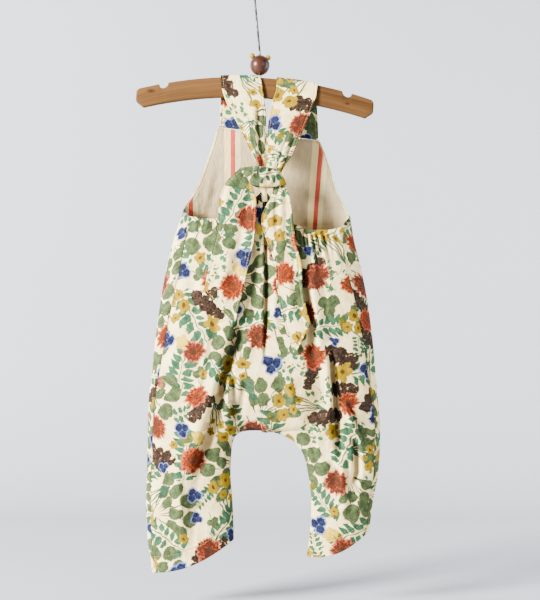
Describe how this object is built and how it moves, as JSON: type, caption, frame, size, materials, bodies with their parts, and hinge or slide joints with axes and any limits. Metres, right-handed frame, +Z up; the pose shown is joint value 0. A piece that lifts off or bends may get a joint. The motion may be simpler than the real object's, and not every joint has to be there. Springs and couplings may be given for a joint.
{
  "type": "baby dungarees on a hanger",
  "caption": "Sleeveless baby dungarees in printed cotton with a striped bib lining and ties knotted at the back, hung by the straps on a small notched wooden hanger.",
  "frame": {"origin": "inside of the crown of the hanger's hook, where it rests on a rail", "axes": "+Z up, +X to the wearer's right, +Y to the wearer's front; the back of the garment faces -Y"},
  "size_m": [0.2879, 0.0687, 0.7125],
  "materials": {
    "printed_cotton": "matt woven cotton with a scattered floral print",
    "striped_lining": "matt crinkled cotton with narrow coral and mint stripes",
    "hanger_wood": "satin lacquer",
    "hook_steel": "bright wire",
    "bead_brown": "gloss lacquer",
    "bead_yellow": "gloss lacquer"
  },
  "bodies": {
    "root": {"front_panel": "printed_cotton", "bib_lining": "striped_lining", "back_panel": "printed_cotton", "strap_left": "printed_cotton", "strap_right": "printed_cotton", "knot_wrap": "printed_cotton", "tail_left": "printed_cotton", "tail_right": "printed_cotton", "keeper_loop": "printed_cotton", "hanger_bar": "hanger_wood", "hanger_hook": "hook_steel", "hanger_bead": "bead_brown", "ear_left": "bead_yellow", "ear_right": "bead_yellow"}
  },
  "joints": []
}
